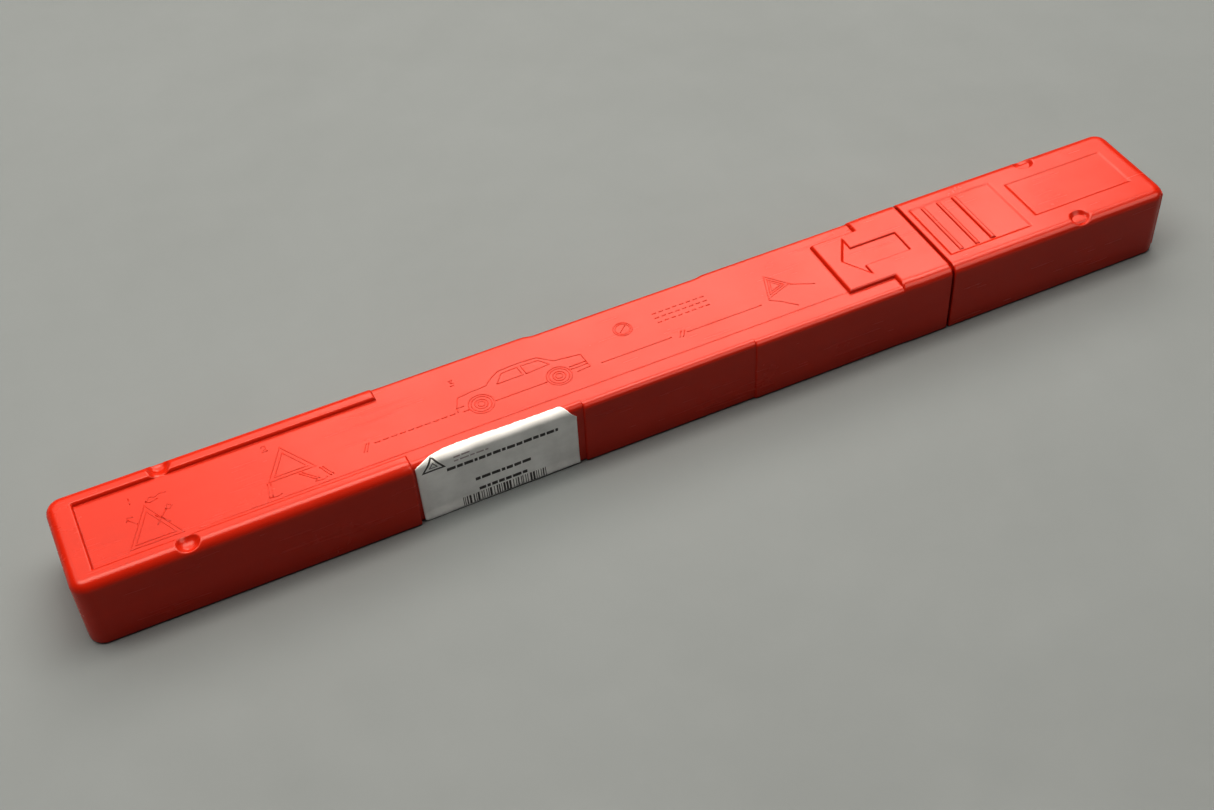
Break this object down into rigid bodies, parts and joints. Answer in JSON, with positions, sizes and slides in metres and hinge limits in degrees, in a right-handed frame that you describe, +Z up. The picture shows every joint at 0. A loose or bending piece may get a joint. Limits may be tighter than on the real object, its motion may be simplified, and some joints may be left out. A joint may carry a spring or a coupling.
{
  "type": "warning triangle",
  "caption": "Folding warning triangle closed in a slim red two-part plastic case with a pull-off ribbed cap, sunken lid panel and front label.",
  "frame": {"origin": "on the floor, under the middle of the closed case's bounding box", "axes": "+X along the case from the closed end of the body to the cap, +Y from the label side to the back, +Z up, square to the flat bottom"},
  "size_m": [0.445, 0.046, 0.031],
  "materials": {
    "case_plastic": "semi-gloss moulded red polyethylene",
    "label_paper": "coated white paper",
    "arm_plastic": "satin moulded red plastic",
    "reflector_lens": "clear red prismatic acrylic",
    "reflector_back": "matt white plastic",
    "fluorescent_plastic": "fluorescent red-orange plastic",
    "rivet_metal": "zinc plated steel",
    "dark_plastic": "matt black nylon",
    "foot_steel": "rolled zinc plated steel strip"
  },
  "bodies": {
    "case": {"case_body": "case_plastic", "label": "label_paper"},
    "cap": {"case_cap": "case_plastic"},
    "triangle": {"base_arm": "arm_plastic", "left_arm": "arm_plastic", "right_arm": "arm_plastic", "base_reflectors": "reflector_lens", "left_reflectors": "reflector_lens", "right_reflectors": "reflector_lens", "base_reflector_backs": "reflector_back", "left_reflector_backs": "reflector_back", "right_reflector_backs": "reflector_back", "base_fluorescent_strip": "fluorescent_plastic", "left_fluorescent_strip": "fluorescent_plastic", "right_fluorescent_strip": "fluorescent_plastic", "left_hinge_rivet": "rivet_metal", "right_hinge_rivet": "rivet_metal", "left_hinge_washer": "dark_plastic", "right_spacer_bush": "dark_plastic", "apex_stud": "rivet_metal", "apex_socket": "dark_plastic", "left_foot": "foot_steel", "right_foot": "foot_steel", "left_foot_rivet": "rivet_metal", "right_foot_rivet": "rivet_metal", "left_foot_washer": "dark_plastic", "right_foot_washer": "dark_plastic"}
  },
  "joints": [
    {"name": "case_cap_slide", "type": "slide", "parent": "case", "child": "cap", "axis": [1, 0, 0], "range_m": [0, 0.53]},
    {"name": "triangle_slide", "type": "slide", "parent": "case", "child": "triangle", "axis": [1, 0, 0], "range_m": [0, 0.43]}
  ],
  "couplings": [
    {"joint": "triangle_slide", "follows": "case_cap_slide", "ratio": 0.8113}
  ]
}
